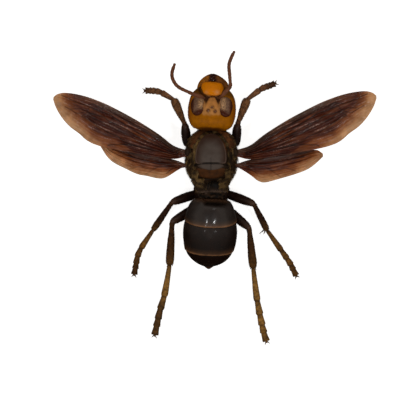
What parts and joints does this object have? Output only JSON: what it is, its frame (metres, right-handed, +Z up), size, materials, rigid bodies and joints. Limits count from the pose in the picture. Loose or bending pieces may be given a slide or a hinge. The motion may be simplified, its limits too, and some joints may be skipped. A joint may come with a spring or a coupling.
{
  "type": "asian giant hornet model",
  "caption": "Life-size still model of an Asian giant hornet standing with wings spread, orange head turned face up, black gaster and amber-edged brown wings.",
  "frame": {"origin": "on the floor under the middle of the model's box", "axes": "+X to the hornet's right, along the spread wings; +Y towards the head; +Z up, away from the floor"},
  "size_m": [0.074, 0.0682, 0.0167],
  "materials": {
    "orange_head_shell": "satin, smooth",
    "bright_face_plate": "glossy",
    "brown_jaw": "satin, pitted",
    "dark_eye": "glossy, finely faceted",
    "brown_feeler": "matt, fine down",
    "grey_brown_shield": "satin, fine down",
    "olive_black_shell": "matt, hairy",
    "russet_shell": "satin",
    "gloss_black_shell": "glossy",
    "dark_leg_shell": "satin",
    "brown_shin_shell": "satin, fine down",
    "tan_foot_shell": "matt, fine down",
    "amber_wing_membrane": "thin, veined, half clear amber at the edges"
  },
  "bodies": {
    "root": {"head": "orange_head_shell", "clypeus": "bright_face_plate", "mandible_left": "brown_jaw", "mandible_right": "brown_jaw", "eye_left": "dark_eye", "eye_right": "dark_eye", "scape_left": "brown_feeler", "scape_right": "brown_feeler", "flagellum_left": "brown_feeler", "flagellum_right": "brown_feeler", "neck": "olive_black_shell", "pronotum": "olive_black_shell", "mesothorax": "olive_black_shell", "propodeum": "olive_black_shell", "petiole": "olive_black_shell", "mesoscutum": "grey_brown_shield", "scutellum": "grey_brown_shield", "metanotum": "russet_shell", "tegula_left": "russet_shell", "tegula_right": "russet_shell", "gaster_tip": "russet_shell", "gaster_1": "gloss_black_shell", "gaster_2": "gloss_black_shell", "gaster_3": "gloss_black_shell", "forewing_left": "amber_wing_membrane", "forewing_right": "amber_wing_membrane", "hindwing_left": "amber_wing_membrane", "hindwing_right": "amber_wing_membrane", "fore_left_coxa": "dark_leg_shell", "fore_left_femur": "dark_leg_shell", "fore_left_tibia": "brown_shin_shell", "fore_left_tarsus": "tan_foot_shell", "fore_right_coxa": "dark_leg_shell", "fore_right_femur": "dark_leg_shell", "fore_right_tibia": "brown_shin_shell", "fore_right_tarsus": "tan_foot_shell", "mid_left_coxa": "dark_leg_shell", "mid_left_femur": "dark_leg_shell", "mid_left_tibia": "brown_shin_shell", "mid_left_tarsus": "tan_foot_shell", "mid_right_coxa": "dark_leg_shell", "mid_right_femur": "dark_leg_shell", "mid_right_tibia": "brown_shin_shell", "mid_right_tarsus": "tan_foot_shell", "hind_left_coxa": "dark_leg_shell", "hind_left_femur": "dark_leg_shell", "hind_left_tibia": "brown_shin_shell", "hind_left_tarsus": "tan_foot_shell", "hind_right_coxa": "dark_leg_shell", "hind_right_femur": "dark_leg_shell", "hind_right_tibia": "brown_shin_shell", "hind_right_tarsus": "tan_foot_shell"}
  },
  "joints": []
}
